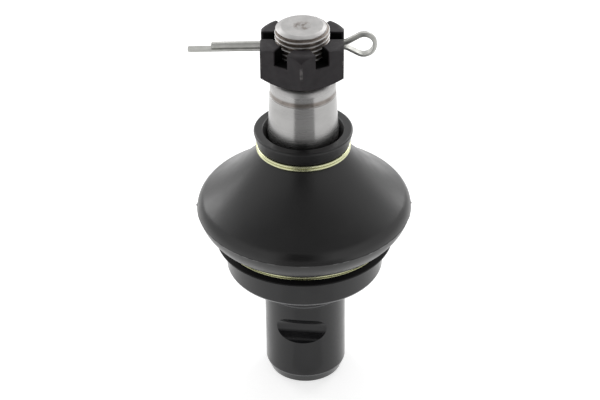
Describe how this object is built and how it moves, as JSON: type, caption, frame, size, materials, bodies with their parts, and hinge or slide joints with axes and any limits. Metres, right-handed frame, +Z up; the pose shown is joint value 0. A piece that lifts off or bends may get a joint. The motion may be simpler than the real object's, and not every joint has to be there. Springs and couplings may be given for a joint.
{
  "type": "suspension ball joint",
  "caption": "Suspension ball joint: clamp shank with a pinch-bolt groove, flange, rubber dust boot, tapered ball stud with castle nut and split pin.",
  "frame": {"origin": "centre of the shank's flat end face, the face that the part stands on", "axes": "+Z up the shank and the stud; the pinch-bolt groove faces -Y and runs along X"},
  "size_m": [0.0658, 0.0656, 0.122],
  "materials": {
    "black_paint": "satin",
    "bearing_plastic": "matte",
    "spring_steel": "satin",
    "ground_steel": "ground",
    "black_nut_finish": "satin",
    "zinc_wire": "dull zinc",
    "boot_rubber": "satin",
    "yellow_zinc_wire": "yellow passivated"
  },
  "bodies": {
    "housing": {"housing": "black_paint", "lower_bearing_shell": "bearing_plastic", "upper_bearing_shell": "bearing_plastic", "preload_spring": "spring_steel", "closing_ring": "spring_steel", "boot_base_ring": "yellow_zinc_wire"},
    "boot": {"dust_boot": "boot_rubber"},
    "boot_collar": {"boot_top_ring": "yellow_zinc_wire"},
    "stud": {"ball_stud": "ground_steel", "castle_nut": "black_nut_finish", "split_pin": "zinc_wire"}
  },
  "joints": [
    {"name": "swing_direction", "type": "hinge", "parent": "housing", "child": "boot", "pos_m": [0, 0, 0.056], "axis": [0, 0, 1], "continuous": true},
    {"name": "swing", "type": "hinge", "parent": "boot", "child": "boot_collar", "pos_m": [0, 0, 0.056], "axis": [1, 0, 0], "range_deg": [-20, 20], "deforming": ["dust_boot"]},
    {"name": "stud_spin", "type": "hinge", "parent": "boot_collar", "child": "stud", "pos_m": [0, 0, 0.056], "axis": [0, 0, 1], "continuous": true}
  ]
}
